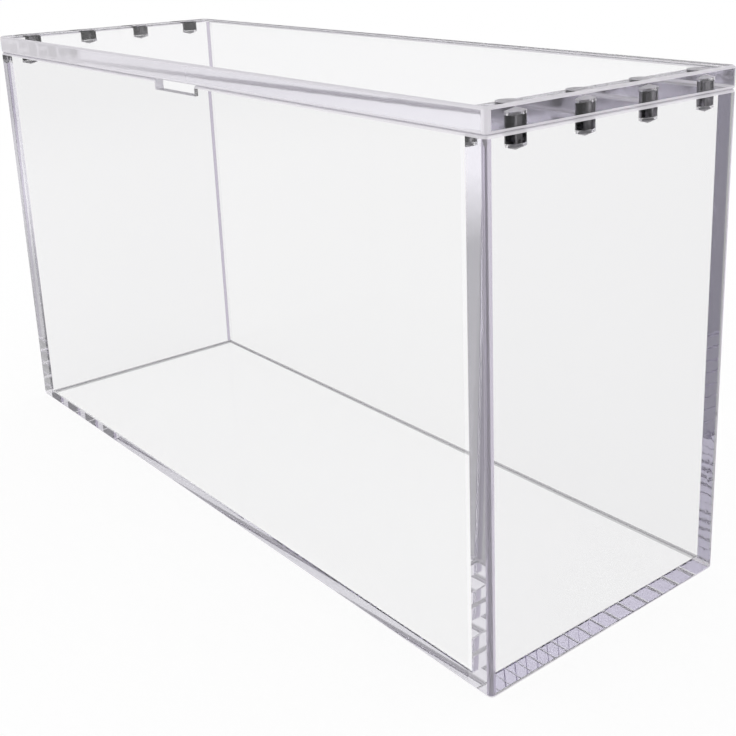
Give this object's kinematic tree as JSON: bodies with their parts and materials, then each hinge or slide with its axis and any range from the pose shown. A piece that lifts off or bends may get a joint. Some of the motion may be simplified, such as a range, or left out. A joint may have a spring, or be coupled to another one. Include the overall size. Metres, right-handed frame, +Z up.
{
  "type": "trading card display case",
  "caption": "Clear acrylic display case for boxed or sleeved trading cards, with thick end walls and a flat lift-off lid held by pairs of disc magnets.",
  "frame": {"origin": "on the surface the case stands on, under the middle of its footprint", "axes": "+X along the case's length, from the left end to the right end; +Y from the front, which has the finger notch, to the rear; +Z up"},
  "size_m": [0.26, 0.0874, 0.1425],
  "materials": {
    "clear_acrylic": "clear cast acrylic sheet, polished faces, saw-cut and polished edges with a faint lavender tint",
    "nickel_plated_magnet": "dark bright nickel plating"
  },
  "bodies": {
    "case": {"base_panel": "clear_acrylic", "front_panel": "clear_acrylic", "rear_panel": "clear_acrylic", "left_end_panel": "clear_acrylic", "right_end_panel": "clear_acrylic", "case_magnet_left_1": "nickel_plated_magnet", "case_magnet_left_2": "nickel_plated_magnet", "case_magnet_left_3": "nickel_plated_magnet", "case_magnet_left_4": "nickel_plated_magnet", "case_magnet_right_1": "nickel_plated_magnet", "case_magnet_right_2": "nickel_plated_magnet", "case_magnet_right_3": "nickel_plated_magnet", "case_magnet_right_4": "nickel_plated_magnet"},
    "lid": {"lid_panel": "clear_acrylic", "lid_magnet_left_1": "nickel_plated_magnet", "lid_magnet_left_2": "nickel_plated_magnet", "lid_magnet_left_3": "nickel_plated_magnet", "lid_magnet_left_4": "nickel_plated_magnet", "lid_magnet_right_1": "nickel_plated_magnet", "lid_magnet_right_2": "nickel_plated_magnet", "lid_magnet_right_3": "nickel_plated_magnet", "lid_magnet_right_4": "nickel_plated_magnet"}
  },
  "joints": [
    {"name": "lid_lift", "type": "slide", "parent": "case", "child": "lid", "axis": [0, 0, 1], "range_m": [0, 0.145]}
  ]
}
